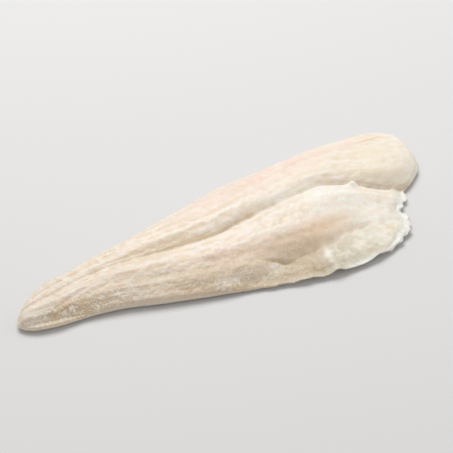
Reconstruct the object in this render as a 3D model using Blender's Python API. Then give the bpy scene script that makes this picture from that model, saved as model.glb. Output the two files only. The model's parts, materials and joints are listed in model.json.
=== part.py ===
"""A frozen flounder fillet: the whole flesh from one side of the flatfish, skinned and lying bone side up.

Two muscle bands run from the blunt tail to the head end, with the backbone's seam between them. The far band
(+Y) is thick to its round end. The near band (-Y) thins out into the belly flap, whose edge is torn.
Units are metres. +X points to the head end, +Z up, and the fillet lies on its flat underside at Z = 0.
"""

import math

import bmesh
import bpy
from mathutils import Vector, noise

MM = 0.001

# Driving dimensions. LENGTH is the straight length from the tail to the tip of the far band.
LENGTH = 235 * MM
RIM_BULGE = 0.8 * MM  # how far the rim stands out, halfway up its wall
FAR_RIM = 3.2 * MM  # height of the far band's edge
MUSCLE_RIM = 3.4 * MM  # height of the near band's edge along the tail half, where it has no flap
FLAP_ROOT = 3.4 * MM  # thickness of the belly flap where it leaves the muscle
FLAP_EDGE = 2.5 * MM  # thickness of the belly flap near its torn edge, before the underside turns up
FLAP_LIFT = 1.2 * MM  # how far the flap's outer part stands off the ground

# Curves down the fillet, as (distance from the tail, value) pairs in millimetres.
SEAM_Y = (
    (0, -9), (18, -4.5), (50, -0.5), (75, 0.3), (88, -0.3), (100, -1.5), (110, -1.6), (120, -0.2), (130, 1.6),
    (142, 4.2), (152, 6), (163, 8.3), (172, 9.8), (185, 8), (214, -4), (235, 0),
)
FAR_Y = (
    (0, -2), (12, 4), (23, 8.8), (33, 10.2), (52, 14.8), (77, 21.3), (104, 29.3), (118, 33.3), (135, 37.3),
    (168, 41), (188, 43.8), (205, 44.8), (218, 45.2), (235, 44),
)
NEAR_Y = (
    (0, -17), (10, -20.4), (18, -21.4), (28, -21.2), (46, -23), (70, -29.5), (94, -35.5), (118, -40.6),
    (138, -45.3), (150, -47.5), (235, -46.5),
)
FAR_CREST = ((0, 7.5), (30, 9.5), (80, 12), (150, 14), (200, 13.5), (235, 12))
NEAR_CREST = ((0, 7), (30, 9), (90, 11.2), (150, 12.8), (174, 11.6), (190, 8.4), (206, 5.2), (235, 4.5))
MUSCLE_WIDTH = (
    (0, 8), (10, 12), (20, 15.5), (36, 20.5), (60, 29), (90, 36), (108, 37), (130, 34), (157, 36.5),
    (174, 34), (188, 31), (201, 27), (235, 22),
)

# Width of the seam's slope on each band.
NEAR_SLOPE_WIDTH = 4.2 * MM
FAR_SLOPE_WIDTH = ((0, 3), (45, 4), (80, 4.6), (120, 4.6), (165, 5.5), (190, 7), (206, 9), (235, 11))

# Share of each band's height that the seam's groove takes away, against the distance from the tail.
NEAR_CUT = (
    (0, 0.12), (45, 0.24), (105, 0.38), (135, 0.34), (165, 0.32), (188, 0.5), (214, 0.85), (235, 0.95),
)
FAR_CUT = (
    (0, 0.12), (45, 0.24), (90, 0.35), (130, 0.34), (165, 0.32), (190, 0.52), (214, 0.85), (235, 0.95),
)

# Where the two ends lie, as (place across, distance from the tail in millimetres). The place across is -1 at
# the near edge, 0 at the seam and 1 at the far edge.
TAIL_END = ((-1, 5), (-0.85, 1.5), (-0.55, 0), (-0.2, 1), (0.19, 3.5), (0.53, 8.5), (0.8, 16), (1, 22))
HEAD_END = (
    (-1, 167), (-0.965, 178), (-0.92, 187), (-0.87, 192), (-0.8, 196.5), (-0.7, 201.5), (-0.62, 204.5),
    (-0.44, 204), (-0.35, 206.5), (-0.25, 210.5), (-0.15, 212.5), (-0.04, 214.5), (0.05, 223), (0.18, 231),
    (0.45, 235), (0.72, 235), (0.93, 228), (1, 216),
)

# Rounding of the ends.
TAIL_ROUND = 7 * MM
FAR_END_ROUND = 15 * MM
FLAP_END_ROUND = 5 * MM

# Cross-section of the bands: a higher power keeps the crest flat for longer, and a higher blunt lets the
# shoulder fall more softly.
FAR_POWER, FAR_BLUNT = 2.6, 0.62
NEAR_POWER, NEAR_BLUNT = 2.8, 0.85
SOFT_FOOT = 0.35  # added to the near blunt where the muscle runs out softly into the flap
SEAM_SHARPNESS = 1.4  # how sharply the groove of the seam narrows to its bottom

# The near band turns into the flap over these shares of its muscle's width, and the flap starts along these
# distances from the tail.
FLAP_SHARES = (0.74, 1.12)
FLAP_STARTS = (80 * MM, 135 * MM)
FLAP_THINNING = 0.6  # share of the muscle's width over which the flap thins to its edge
FLAP_LIFT_SHARES = (1.02, 1.35)  # shares of the muscle's width over which the flap leaves the ground

# The torn edge. Each tear has a length along the edge and a strength.
TEAR_DEPTH = 4.4 * MM
TEAR_STARTS = (95 * MM, 135 * MM)  # distances from the tail over which the near edge starts to be torn
TEARS = ((9 * MM, 1.1), (4.2 * MM, 0.8))
TEAR_FOCUS = 9  # power that keeps the tears to the edge
SIDE_TEAR = 0.35  # depth of the tears along the side, against those at the end
END_TEAR_WIDTH = 0.12  # place across over which the end's tears grow from the seam

# Relief of the flesh: (height, length along the fillet, width across it, place in the noise field).
STREAKS = (1.1 * MM, 95 * MM, 10.5 * MM, 3.1)
LUMPS = (1.3 * MM, 34 * MM, 21 * MM, 8.6)
FLAP_FOLDS = (1.2 * MM, 11 * MM, 26 * MM, 5.4)
FAN_WIDTH = 45 * MM  # width of each band where its streaks are read, so that they fan out from the tail
RELIEF_FADE = 0.2  # share of the band's width over which the relief fades out to the rim

# Folds that cross the flap: (distance from the tail, how far it leans, height, width), in millimetres.
CROSS_FOLDS = ((129, 0.3, -1.0, 3.5), (153, 0.16, 1.5, 3.0), (178, -0.3, 0.9, 4.5))

# Underside: it is flat under the muscle and turns up towards the rim.
SOLE_EDGE = 6 * MM
RIM_LIFT = 1.0 * MM

# Grid of the sheet that the fillet is shaped from.
COLUMNS = 86
ROWS = 38
SEAM_ROW_SHARE = 0.58  # share of the rows that the near band takes

FLESH_COLOUR = (0.86, 0.76, 0.62, 1.0)
FLESH_ROUGHNESS = 0.45
FLESH_SUBSURFACE = 0.25
SMOOTH_ANGLE = math.radians(50)


def clear_scene():
    """Removes what the scene holds when the script starts."""
    for obj in list(bpy.data.objects):
        bpy.data.objects.remove(obj, do_unlink=True)


def ease(value, start=0.0, end=1.0):
    """Share of the way from a start to an end, kept to 0 and 1 and with level ends."""
    share = min(1.0, max(0.0, (value - start) / (end - start)))
    return share * share * (3 - 2 * share)


def curve_at(points, place):
    """Reads a smooth curve that passes through hand-set points and doesn't overshoot them."""
    if place <= points[0][0]:
        return points[0][1]
    if place >= points[-1][0]:
        return points[-1][1]
    slopes = [(b[1] - a[1]) / (b[0] - a[0]) for a, b in zip(points, points[1:])]
    span = next(i for i, point in enumerate(points[1:]) if place <= point[0])
    (x0, y0), (x1, y1) = points[span], points[span + 1]

    def tangent(index):
        if index in (0, len(points) - 1):
            return slopes[min(index, len(slopes) - 1)]
        before, after = slopes[index - 1], slopes[index]
        return 0.0 if before * after <= 0 else 2 * before * after / (before + after)

    width = x1 - x0
    u = (place - x0) / width
    return (
        y0 * (1 + 2 * u) * (1 - u) ** 2
        + y1 * u * u * (3 - 2 * u)
        + tangent(span) * width * u * (1 - u) ** 2
        - tangent(span + 1) * width * u * u * (1 - u)
    )


def along(points, distance):
    """Reads a millimetre curve at a distance from the tail in metres, and gives metres."""
    return curve_at(points, distance / MM) * MM


def relief(kind, distance, side):
    """Height of one kind of relief, from smooth noise stretched along the fillet."""
    height, length, width, layer = kind
    return height * noise.noise(Vector((distance / length, side / width, layer)))


def rounded(distance, radius):
    """Share of the full height at a distance from an edge that is rounded by a radius."""
    left = 1 - min(1.0, max(0.0, distance / radius))
    return math.sqrt(max(0.0, 1 - left * left))


def tear(place):
    """How far the torn edge comes forward, from about -1 to 1, at a place along it in metres."""
    return sum(strength * noise.noise(Vector((place / length, strength, 0))) for length, strength in TEARS)


def muscle_reach(distance, y):
    """How far out on the near band a point lies: 0 at the seam, 1 at the muscle's end, over 1 on the flap."""
    return (along(SEAM_Y, distance) - y) / along(MUSCLE_WIDTH, distance)


def muscle_share(distance, y):
    """1 on the near band's muscle and 0 on the flap, with a soft step between them."""
    return 1 - ease(muscle_reach(distance, y), *FLAP_SHARES)


def flap_wave(distance, y):
    """How far the flap's thin sheet stands off the ground: its lift and its folds."""
    wave = relief(FLAP_FOLDS, distance, y)
    for start, lean, height, width in CROSS_FOLDS:
        off = (distance - start * MM - lean * (y - NEAR_Y[-1][1] * MM)) / (width * MM)
        wave += height * MM * math.exp(-off * off)
    wave *= (1 - muscle_share(distance, y)) * ease(distance, *FLAP_STARTS)
    return wave + FLAP_LIFT * ease(muscle_reach(distance, y), *FLAP_LIFT_SHARES)


def place_across(row):
    """Place across the fillet, from -1 at the near edge to 1 at the far edge, of a row share of 0 to 1."""
    if row < SEAM_ROW_SHARE:
        return row / SEAM_ROW_SHARE - 1
    return (row - SEAM_ROW_SHARE) / (1 - SEAM_ROW_SHARE)


def plan(column, across):
    """Distance from the tail and Y of a point of the sheet, from its column share and its place across."""
    start = curve_at(TAIL_END, across) * MM
    end = curve_at(HEAD_END, across) * MM
    distance = start + (end - start) * column
    seam = along(SEAM_Y, distance)
    if across >= 0:
        return distance, seam + across * (along(FAR_Y, distance) - seam)
    y = seam - across * (along(NEAR_Y, distance) - seam)
    end_focus = column ** TEAR_FOCUS
    side_focus = (-across) ** TEAR_FOCUS * (1 - end_focus) * ease(distance, *TEAR_STARTS)
    torn_y = y + SIDE_TEAR * TEAR_DEPTH * side_focus * tear(distance)
    torn_distance = distance + TEAR_DEPTH * end_focus * ease(-across, end=END_TEAR_WIDTH) * tear(y)
    return torn_distance, torn_y


def far_section(distance, across):
    """Height of the far band's rim, and of its muscle above the rim."""
    rise = (1 - across ** FAR_POWER) ** FAR_BLUNT
    return FAR_RIM, (along(FAR_CREST, distance) - FAR_RIM) * rise


def near_section(distance, y):
    """Height of the near band's rim, and of its muscle above the rim. The muscle thins into the flap."""
    reach = muscle_reach(distance, y)
    flap = FLAP_ROOT + (FLAP_EDGE - FLAP_ROOT) * ease(reach, 1, 1 + FLAP_THINNING)
    rim = MUSCLE_RIM + (flap - MUSCLE_RIM) * ease(distance, *FLAP_STARTS)
    blunt = NEAR_BLUNT + SOFT_FOOT * ease(distance, *FLAP_STARTS)
    rise = (1 - min(1.0, reach) ** NEAR_POWER) ** blunt
    return rim, (along(NEAR_CREST, distance) - rim) * rise


def top_height(column, across):
    """Height of the upper side."""
    distance, y = plan(column, across)
    if across >= 0:
        rim, body = far_section(distance, across)
        muscle, wave = 1.0, 0.0
        slope_width, cut, end_round = along(FAR_SLOPE_WIDTH, distance), FAR_CUT, FAR_END_ROUND
    else:
        rim, body = near_section(distance, y)
        muscle, wave = muscle_share(distance, y), flap_wave(distance, y)
        slope_width, cut, end_round = NEAR_SLOPE_WIDTH, NEAR_CUT, FLAP_END_ROUND
    from_seam = abs(y - along(SEAM_Y, distance)) / slope_width
    body *= 1 - curve_at(cut, distance / MM) * math.exp(-(from_seam ** SEAM_SHARPNESS))
    fade = ease(1 - abs(across), end=RELIEF_FADE)
    body += (relief(STREAKS, distance, across * FAN_WIDTH) + relief(LUMPS, distance, y)) * fade * muscle
    from_tail = distance - curve_at(TAIL_END, across) * MM
    from_head = curve_at(HEAD_END, across) * MM - distance
    return rim + wave + body * rounded(from_tail, TAIL_ROUND) * rounded(from_head, end_round)


def underside_height(column, across):
    """Height of the lower side, which is flat except near the rim and under the flap."""
    distance, y = plan(column, across)
    edge = FAR_Y if across >= 0 else NEAR_Y
    from_side = abs(along(edge, distance) - along(SEAM_Y, distance)) * (1 - abs(across))
    from_tail = distance - curve_at(TAIL_END, across) * MM
    from_head = curve_at(HEAD_END, across) * MM - distance
    margin = max(0.0, min(from_side, from_tail, from_head))
    lift = RIM_LIFT * (1 - ease(margin, end=SOLE_EDGE))
    return lift if across >= 0 else max(0.0, lift + flap_wave(distance, y))


def shape_sheet(mesh):
    """Makes the flat sheet, gives it an underside and moves both to the fillet's surfaces."""
    bmesh.ops.create_grid(mesh, x_segments=COLUMNS, y_segments=ROWS, size=1)
    shares = mesh.verts.layers.float_vector.new("shares")
    for vert in mesh.verts:
        vert[shares] = ((vert.co.x + 1) / 2, place_across((vert.co.y + 1) / 2), 0)
    raised = bmesh.ops.extrude_face_region(mesh, geom=mesh.faces[:])["geom"]
    upper = {item for item in raised if isinstance(item, bmesh.types.BMVert)}
    for vert in mesh.verts:
        column, across = vert[shares][0], vert[shares][1]
        distance, y = plan(column, across)
        height = top_height if vert in upper else underside_height
        vert.co = (distance - LENGTH / 2, y, height(column, across))
    return upper


def round_rim(mesh, upper):
    """Cuts the rim's wall halfway up and pushes the cut outwards, so that the edge isn't sharp."""
    wall = [edge for edge in mesh.edges if (edge.verts[0] in upper) != (edge.verts[1] in upper)]
    cut = bmesh.ops.subdivide_edges(mesh, edges=wall, cuts=1, use_grid_fill=False)["geom_inner"]
    middle = [item for item in cut if isinstance(item, bmesh.types.BMVert)]
    pushes = []
    for vert in middle:
        sides = [face.normal for face in vert.link_faces]
        push = Vector((sum(n.x for n in sides), sum(n.y for n in sides), 0))
        pushes.append(push.normalized() * RIM_BULGE if push.length > 0 else Vector())
    for vert, push in zip(middle, pushes):
        vert.co += push


def flesh_material():
    """Raw white flesh, frozen: pale cream and a little translucent."""
    material = bpy.data.materials.new("flounder_flesh")
    material.use_nodes = True
    shader = material.node_tree.nodes["Principled BSDF"]
    shader.inputs["Base Color"].default_value = FLESH_COLOUR
    shader.inputs["Roughness"].default_value = FLESH_ROUGHNESS
    shader.inputs["Metallic"].default_value = 0.0
    shader.inputs["Subsurface Weight"].default_value = FLESH_SUBSURFACE
    return material


def build_fillet():
    """The fillet as one closed solid."""
    mesh = bmesh.new()
    upper = shape_sheet(mesh)
    bmesh.ops.recalc_face_normals(mesh, faces=mesh.faces[:])
    round_rim(mesh, upper)
    bmesh.ops.recalc_face_normals(mesh, faces=mesh.faces[:])
    if mesh.calc_volume(signed=True) < 0:
        bmesh.ops.reverse_faces(mesh, faces=mesh.faces[:])
    data = bpy.data.meshes.new("fillet")
    mesh.to_mesh(data)
    mesh.free()
    data.shade_smooth()
    data.set_sharp_from_angle(angle=SMOOTH_ANGLE)
    data.materials.append(flesh_material())
    fillet = bpy.data.objects.new("fillet", data)
    bpy.context.scene.collection.objects.link(fillet)
    return fillet


clear_scene()
build_fillet()
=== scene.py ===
"""Dresses the flounder fillet: frozen raw flesh with its muscle streaks, a thin torn belly flap and frost.

The flesh is one closed piece in place of the solid `fillet`, with a small knob at its seam. A torn frill
edges its flap, and crumbs of frost lie on it. Units are metres, +X points to the head end and +Z is up.
Curves and places that are listed are in millimetres: along the fillet from its tail end, and across it
from the middle line.
"""

import json
import logging
import math
import random
from dataclasses import dataclass, field
from enum import Enum

import bpy
import numpy as np
from mathutils import Euler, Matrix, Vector, noise
from mathutils.bvhtree import BVHTree

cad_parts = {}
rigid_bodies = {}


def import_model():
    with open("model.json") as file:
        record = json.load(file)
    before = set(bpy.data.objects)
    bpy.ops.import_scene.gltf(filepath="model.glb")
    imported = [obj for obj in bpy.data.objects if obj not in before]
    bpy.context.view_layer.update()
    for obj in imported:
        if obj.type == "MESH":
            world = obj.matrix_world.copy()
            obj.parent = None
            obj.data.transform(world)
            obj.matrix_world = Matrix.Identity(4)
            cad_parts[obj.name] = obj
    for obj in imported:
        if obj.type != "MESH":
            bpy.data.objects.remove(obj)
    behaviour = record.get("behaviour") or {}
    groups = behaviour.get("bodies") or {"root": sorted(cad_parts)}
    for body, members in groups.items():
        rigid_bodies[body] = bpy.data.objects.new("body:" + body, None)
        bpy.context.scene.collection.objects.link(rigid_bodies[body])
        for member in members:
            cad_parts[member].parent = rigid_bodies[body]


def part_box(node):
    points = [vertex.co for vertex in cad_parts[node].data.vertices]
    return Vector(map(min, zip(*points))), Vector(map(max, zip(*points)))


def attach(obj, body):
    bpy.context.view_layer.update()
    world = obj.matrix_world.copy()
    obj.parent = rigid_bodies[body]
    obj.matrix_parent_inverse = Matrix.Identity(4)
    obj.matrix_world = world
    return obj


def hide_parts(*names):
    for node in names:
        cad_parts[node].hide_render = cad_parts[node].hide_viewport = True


Array = np.ndarray
Colour = tuple[float, float, float]
Span = tuple[float, float]
Pairs = tuple[Span, ...]
Socket = bpy.types.NodeSocket

MM = 0.001

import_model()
log = logging.getLogger("flounder_fillet")


# Curves and noise.


def ease(values: Array, start: float = 0.0, end: float = 1.0) -> Array:
    """Goes from 0 at a start to 1 at an end, with level ends.

    Args:
        values: Where to read it.
        start: The value that gives 0.
        end: The value that gives 1.

    Returns:
        The share of the way at each value.
    """
    share = np.clip((values - start) / (end - start), 0.0, 1.0)
    return share * share * (3 - 2 * share)


def bell(values: Array) -> Array:
    """Gives 1 at 0, and falls to nothing by about 2."""
    return np.exp(-values * values)


def rounded_share(distance: Array, radius: Array | float) -> Array:
    """Gives the share of the full height at distances from an end that is rounded by a radius."""
    left = 1 - np.clip(distance / radius, 0.0, 1.0)
    return np.sqrt(1 - left * left)


def noise_at(first: Array, second: Array, layer: float) -> Array:
    """Reads smooth noise.

    Args:
        first: The first coordinate of each place.
        second: The second coordinate of each place.
        layer: The third coordinate, which picks another pattern.

    Returns:
        The noise, from about -1 to 1.
    """
    places = zip(first.ravel().tolist(), second.ravel().tolist())
    return np.array([noise.noise((a, b, layer)) for a, b in places]).reshape(first.shape)


@dataclass(frozen=True)
class Curve:
    """A smooth curve through given points in millimetres, which doesn't overshoot them."""

    points: Pairs

    def at(self, places: Array) -> Array:
        """Reads the curve.

        Args:
            places: Where to read it, in the unit of the points.

        Returns:
            The curve's values, in the unit of the points.
        """
        knots, values = np.array(self.points, dtype=float).T
        widths = np.diff(knots)
        slopes = np.diff(values) / widths
        before, after = slopes[:-1], slopes[1:]
        same_way = before * after > 0
        inner = np.where(same_way, 2 * before * after / np.where(same_way, before + after, 1.0), 0.0)
        tangents = np.concatenate([slopes[:1], inner, slopes[-1:]])
        inside = np.clip(places, knots[0], knots[-1])
        span = np.clip(np.searchsorted(knots, inside) - 1, 0, len(widths) - 1)
        u = (inside - knots[span]) / widths[span]
        return (
            values[span] * (1 + 2 * u) * (1 - u) ** 2
            + values[span + 1] * u * u * (3 - 2 * u)
            + tangents[span] * widths[span] * u * (1 - u) ** 2
            - tangents[span + 1] * widths[span] * u * u * (1 - u)
        )

    def down(self, distance: Array) -> Array:
        """Reads the curve at distances from the tail in metres, and gives metres."""
        return self.at(distance / MM) * MM


@dataclass(frozen=True)
class Relief:
    """Height of the flesh from smooth noise that is stretched along the fillet."""

    height: float
    length: float
    width: float
    layer: float

    def over(self, distance: Array, side: Array) -> Array:
        """Gives the height at distances from the tail and places across, all in metres."""
        return self.height * noise_at(distance / self.length, side / self.width, self.layer)


@dataclass(frozen=True)
class Wobble:
    """A number that varies smoothly along an edge, between limits."""

    mean: float
    swing: float
    length: float
    layer: float
    least: float = -math.inf
    most: float = math.inf

    def at(self, run: Array) -> Array:
        """Gives the number at distances along the edge in metres."""
        wave = noise_at(run / self.length, np.zeros_like(run), self.layer)
        return np.clip(self.mean + self.swing * wave, self.least, self.most)


@dataclass(frozen=True)
class Fold:
    """A fold that crosses the flap, in millimetres."""

    distance: float
    lean: float
    height: float
    width: float

    def over(self, distance: Array, from_edge: Array) -> Array:
        """Gives the fold's height at distances from the tail and from the near edge, all in metres."""
        off = (distance - self.distance * MM - self.lean * from_edge) / (self.width * MM)
        return self.height * MM * bell(off)


@dataclass(frozen=True)
class Spot:
    """A soft oval on the upper side, in millimetres and degrees from the fillet's length."""

    distance: float
    y: float
    length: float
    width: float
    turn: float
    strength: float

    def over(self, distance: Array, y: Array) -> Array:
        """Gives the spot's strength at places in metres."""
        angle = math.radians(self.turn)
        off_x, off_y = distance / MM - self.distance, y / MM - self.y
        along = (off_x * math.cos(angle) + off_y * math.sin(angle)) / (0.5 * self.length)
        across = (off_y * math.cos(angle) - off_x * math.sin(angle)) / (0.5 * self.width)
        return self.strength * bell(np.hypot(along, across))


# The fillet's form.


@dataclass
class FilletForm:
    """The fillet's shape, the same as the solid's, with finer relief."""

    length: float

    # Heights of the rim and the flap, and how far the rim's wall bulges.
    rim_bulge: float = 0.8 * MM
    far_rim: float = 3.2 * MM
    muscle_rim: float = 3.4 * MM
    flap_root: float = 3.4 * MM
    flap_edge: float = 2.5 * MM
    flap_lift: float = 1.2 * MM

    # Lines in plan, crests, widths and the seam's slopes and cuts, from the tail end to the head end.
    seam_y: Curve = Curve(
        (
            (0, -9), (18, -4.5), (50, -0.5), (75, 0.3), (88, -0.3), (100, -1.5), (110, -1.6), (120, -0.2),
            (130, 1.6), (142, 4.2), (152, 6), (163, 8.3), (172, 9.8), (185, 8), (214, -4), (235, 0),
        )
    )
    far_y: Curve = Curve(
        (
            (0, -2), (12, 4), (23, 8.8), (33, 10.2), (52, 14.8), (77, 21.3), (104, 29.3), (118, 33.3),
            (135, 37.3), (168, 41), (188, 43.8), (205, 44.8), (218, 45.2), (235, 44),
        )
    )
    near_y: Curve = Curve(
        (
            (0, -17), (10, -20.4), (18, -21.4), (28, -21.2), (46, -23), (70, -29.5), (94, -35.5),
            (118, -40.6), (138, -45.3), (150, -47.5), (235, -46.5),
        )
    )
    far_crest: Curve = Curve(((0, 7.5), (30, 9.5), (80, 12), (150, 14), (200, 13.5), (235, 12)))
    near_crest: Curve = Curve(
        ((0, 7), (30, 9), (90, 11.2), (150, 12.8), (174, 11.6), (190, 8.4), (206, 5.2), (235, 4.5))
    )
    muscle_width: Curve = Curve(
        (
            (0, 8), (10, 12), (20, 15.5), (36, 20.5), (60, 29), (90, 36), (108, 37), (130, 34),
            (157, 36.5), (174, 34), (188, 31), (201, 27), (235, 22),
        )
    )
    far_slope_width: Curve = Curve(
        ((0, 3), (45, 4), (80, 4.6), (120, 4.6), (165, 5.5), (190, 7), (206, 9), (235, 11))
    )
    near_cut: Curve = Curve(
        ((0, 0.12), (45, 0.24), (105, 0.38), (135, 0.34), (165, 0.32), (188, 0.5), (214, 0.85), (235, 0.95))
    )
    far_cut: Curve = Curve(
        ((0, 0.12), (45, 0.24), (90, 0.35), (130, 0.34), (165, 0.32), (190, 0.52), (214, 0.85), (235, 0.95))
    )

    # Distances of the two ends, for places from -1 at the near edge to 1 at the far edge.
    tail_end: Curve = Curve(
        ((-1, 5), (-0.85, 1.5), (-0.55, 0), (-0.2, 1), (0.19, 3.5), (0.53, 8.5), (0.8, 16), (1, 22))
    )
    head_end: Curve = Curve(
        (
            (-1, 167), (-0.965, 178), (-0.92, 187), (-0.87, 192), (-0.8, 196.5), (-0.7, 201.5),
            (-0.62, 204.5), (-0.44, 204), (-0.35, 206.5), (-0.25, 210.5), (-0.15, 212.5), (-0.04, 214.5),
            (0.05, 223), (0.18, 231), (0.45, 235), (0.72, 235), (0.93, 228), (1, 216),
        )
    )

    # How the ends are rounded, and the power and bluntness of each band's section.
    tail_round: float = 7 * MM
    far_end_round: float = 15 * MM
    flap_end_round: float = 5 * MM
    far_section_shape: tuple[float, float] = (2.6, 0.62)
    near_section_shape: tuple[float, float] = (2.8, 0.85)
    soft_foot: float = 0.35
    seam_sharpness: float = 1.4
    near_slope_width: float = 4.2 * MM

    # Where the flap begins, across and along, and how it thins and lifts.
    flap_shares: Span = (0.74, 1.12)
    flap_starts: Span = (80 * MM, 135 * MM)
    flap_thinning: float = 0.6
    flap_lift_shares: Span = (1.02, 1.35)

    # The torn edge, with the length and strength of each of its waves.
    tear_depth: float = 4.4 * MM
    tear_starts: Span = (95 * MM, 135 * MM)
    tears: Pairs = ((9 * MM, 1.1), (4.2 * MM, 0.8), (1.9 * MM, 0.4))
    tear_focus: int = 9
    side_tear: float = 0.35
    end_tear_start: float = 0.12

    # The relief that the solid has too.
    streaks: Relief = Relief(1.1 * MM, 95 * MM, 10.5 * MM, 3.1)
    lumps: Relief = Relief(1.3 * MM, 34 * MM, 21 * MM, 8.6)
    flap_folds: Relief = Relief(1.2 * MM, 11 * MM, 26 * MM, 5.4)
    cross_folds: tuple[Fold, ...] = (
        Fold(129, 0.3, -1.0, 3.5), Fold(153, 0.16, 1.5, 3.0), Fold(178, -0.3, 0.9, 4.5),
    )
    fan_width: float = 45 * MM
    relief_fade: float = 0.2
    sole_edge: float = 6 * MM
    rim_lift: float = 1.0 * MM

    # The finer relief.
    fine_streaks: Relief = Relief(0.24 * MM, 26 * MM, 3.6 * MM, 12.7)
    fibres: Relief = Relief(0.08 * MM, 11 * MM, 1.6 * MM, 17.3)
    pebbles: Relief = Relief(0.34 * MM, 4.6 * MM, 3.2 * MM, 21.9)
    grain: Relief = Relief(0.22 * MM, 1.9 * MM, 1.6 * MM, 33.4)
    pebble_slant: float = 0.2
    wrinkles: Relief = Relief(0.7 * MM, 4.6 * MM, 9 * MM, 27.2)
    wrinkle_slant: float = 0.35
    wrinkle_fade: float = 0.05
    crumple: Relief = Relief(0.4 * MM, 2.6 * MM, 3.6 * MM, 38.7)
    frays: Relief = Relief(0.55 * MM, 4.5 * MM, 1.7 * MM, 41.3)
    fray_width: float = 3.2 * MM
    fray_starts: Span = (40 * MM, 90 * MM)
    smooth_end: Span = (120 * MM, 205 * MM)  # the surface gets smoother between these distances
    skin_left: float = 0.6
    creases: tuple[Spot, ...] = (
        Spot(131.5, -30.2, 15, 1.8, -16, -1.2),
        Spot(218, 33, 20, 1.8, 4, -0.35),
        Spot(158, -37, 15, 2.2, 68, -0.6),
        Spot(80, -0.5, 44, 8, 3, -0.6),
        Spot(98, 12, 40, 3.6, 10, -0.25),
        Spot(46, 6.5, 32, 3.0, 9, -0.25),
        Spot(26, -12.6, 15, 2.6, 14, -0.8),
    )
    knob: tuple[Spot, ...] = (Spot(190.4, 2.8, 4.8, 3.4, -24, 3.0), Spot(188.4, 3.2, 3.0, 2.6, 0, 0.8))

    # How the flap thins to its edge, and the limits of the finer relief.
    edge_taper: float = 6.5 * MM
    edge_share: float = 0.34
    most_proud: float = 0.3 * MM
    least_thick: float = 0.6 * MM

    def tear(self, place: Array) -> Array:
        """Says how far the torn edge comes out, from about -1 to 1, at places along it in metres."""
        ones = np.ones_like(place)
        waves = [strength * noise_at(place / length, strength * ones, 0.0) for length, strength in self.tears]
        return sum(waves)

    def plan(self, column: Array, across: Array) -> tuple[Array, Array]:
        """Places the points of the sheet.

        Args:
            column: Share of the way from the tail end to the head end.
            across: -1 at the near edge, 0 at the seam and 1 at the far edge.

        Returns:
            The distance from the tail and Y of each point, in metres.
        """
        start = self.tail_end.at(across) * MM
        end = self.head_end.at(across) * MM
        distance = start + (end - start) * column
        seam = self.seam_y.down(distance)
        edge = np.where(across >= 0, self.far_y.down(distance), self.near_y.down(distance))
        y = seam + np.abs(across) * (edge - seam)
        near = across < 0
        end_focus = column ** self.tear_focus
        side_focus = np.abs(across) ** self.tear_focus * (1 - end_focus) * ease(distance, *self.tear_starts)
        torn_y = y + self.side_tear * self.tear_depth * side_focus * self.tear(distance) * near
        end_tear = self.tear_depth * end_focus * ease(-across, 0.0, self.end_tear_start)
        return distance + end_tear * self.tear(y) * near, torn_y

    def muscle_reach(self, distance: Array, y: Array) -> Array:
        """Says how far out a point of the near band lies: 1 where the muscle ends, and over 1 on the flap."""
        return (self.seam_y.down(distance) - y) / self.muscle_width.down(distance)

    def muscle_share(self, distance: Array, y: Array) -> Array:
        """Gives 1 on the near band's muscle and 0 on the flap, with a soft step between them."""
        return 1 - ease(self.muscle_reach(distance, y), *self.flap_shares)

    def flap_wave(self, distance: Array, y: Array) -> Array:
        """Gives how far the flap's thin sheet stands off the ground: its lift and its folds."""
        wave = self.flap_folds.over(distance, y)
        from_edge = y - self.near_y.points[-1][1] * MM
        for fold in self.cross_folds:
            wave = wave + fold.over(distance, from_edge)
        wave = wave * (1 - self.muscle_share(distance, y)) * ease(distance, *self.flap_starts)
        return wave + self.flap_lift * ease(self.muscle_reach(distance, y), *self.flap_lift_shares)

    def ends(self, distance: Array, across: Array) -> tuple[Array, Array]:
        """Gives the distances of each point from the tail end and from the head end of its own row."""
        return distance - self.tail_end.at(across) * MM, self.head_end.at(across) * MM - distance

    def top(self, distance: Array, y: Array, across: Array) -> Array:
        """Works out the upper side's main form, without the fine relief.

        Args:
            distance: Distance of each point from the tail.
            y: Y of each point.
            across: Place across of each point.

        Returns:
            The height of each point.
        """
        far = across >= 0
        far_power, far_blunt = self.far_section_shape
        near_power, near_blunt = self.near_section_shape
        reach = self.muscle_reach(distance, y)
        flap = self.flap_root + (self.flap_edge - self.flap_root) * ease(reach, 1, 1 + self.flap_thinning)
        near_rim = self.muscle_rim + (flap - self.muscle_rim) * ease(distance, *self.flap_starts)
        rim = np.where(far, self.far_rim, near_rim)
        far_rise = (1 - np.clip(across, 0, 1) ** far_power) ** far_blunt
        near_blunt = near_blunt + self.soft_foot * ease(distance, *self.flap_starts)
        near_rise = (1 - np.clip(reach, 0, 1) ** near_power) ** near_blunt
        crest = np.where(far, self.far_crest.down(distance), self.near_crest.down(distance))
        body = (crest - rim) * np.where(far, far_rise, near_rise)
        slope_width = np.where(far, self.far_slope_width.down(distance), self.near_slope_width)
        from_seam = np.abs(y - self.seam_y.down(distance)) / slope_width
        cut = np.where(far, self.far_cut.at(distance / MM), self.near_cut.at(distance / MM))
        body = body * (1 - cut * np.exp(-(from_seam ** self.seam_sharpness)))
        muscle = np.where(far, 1.0, self.muscle_share(distance, y))
        wave = np.where(far, 0.0, self.flap_wave(distance, y))
        fade = ease(1 - np.abs(across), 0.0, self.relief_fade)
        bumps = self.streaks.over(distance, across * self.fan_width) + self.lumps.over(distance, y)
        body = body + bumps * fade * muscle
        from_tail, from_head = self.ends(distance, across)
        end_round = np.where(far, self.far_end_round, self.flap_end_round)
        body = body * rounded_share(from_tail, self.tail_round) * rounded_share(from_head, end_round)
        return rim + wave + body

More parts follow.
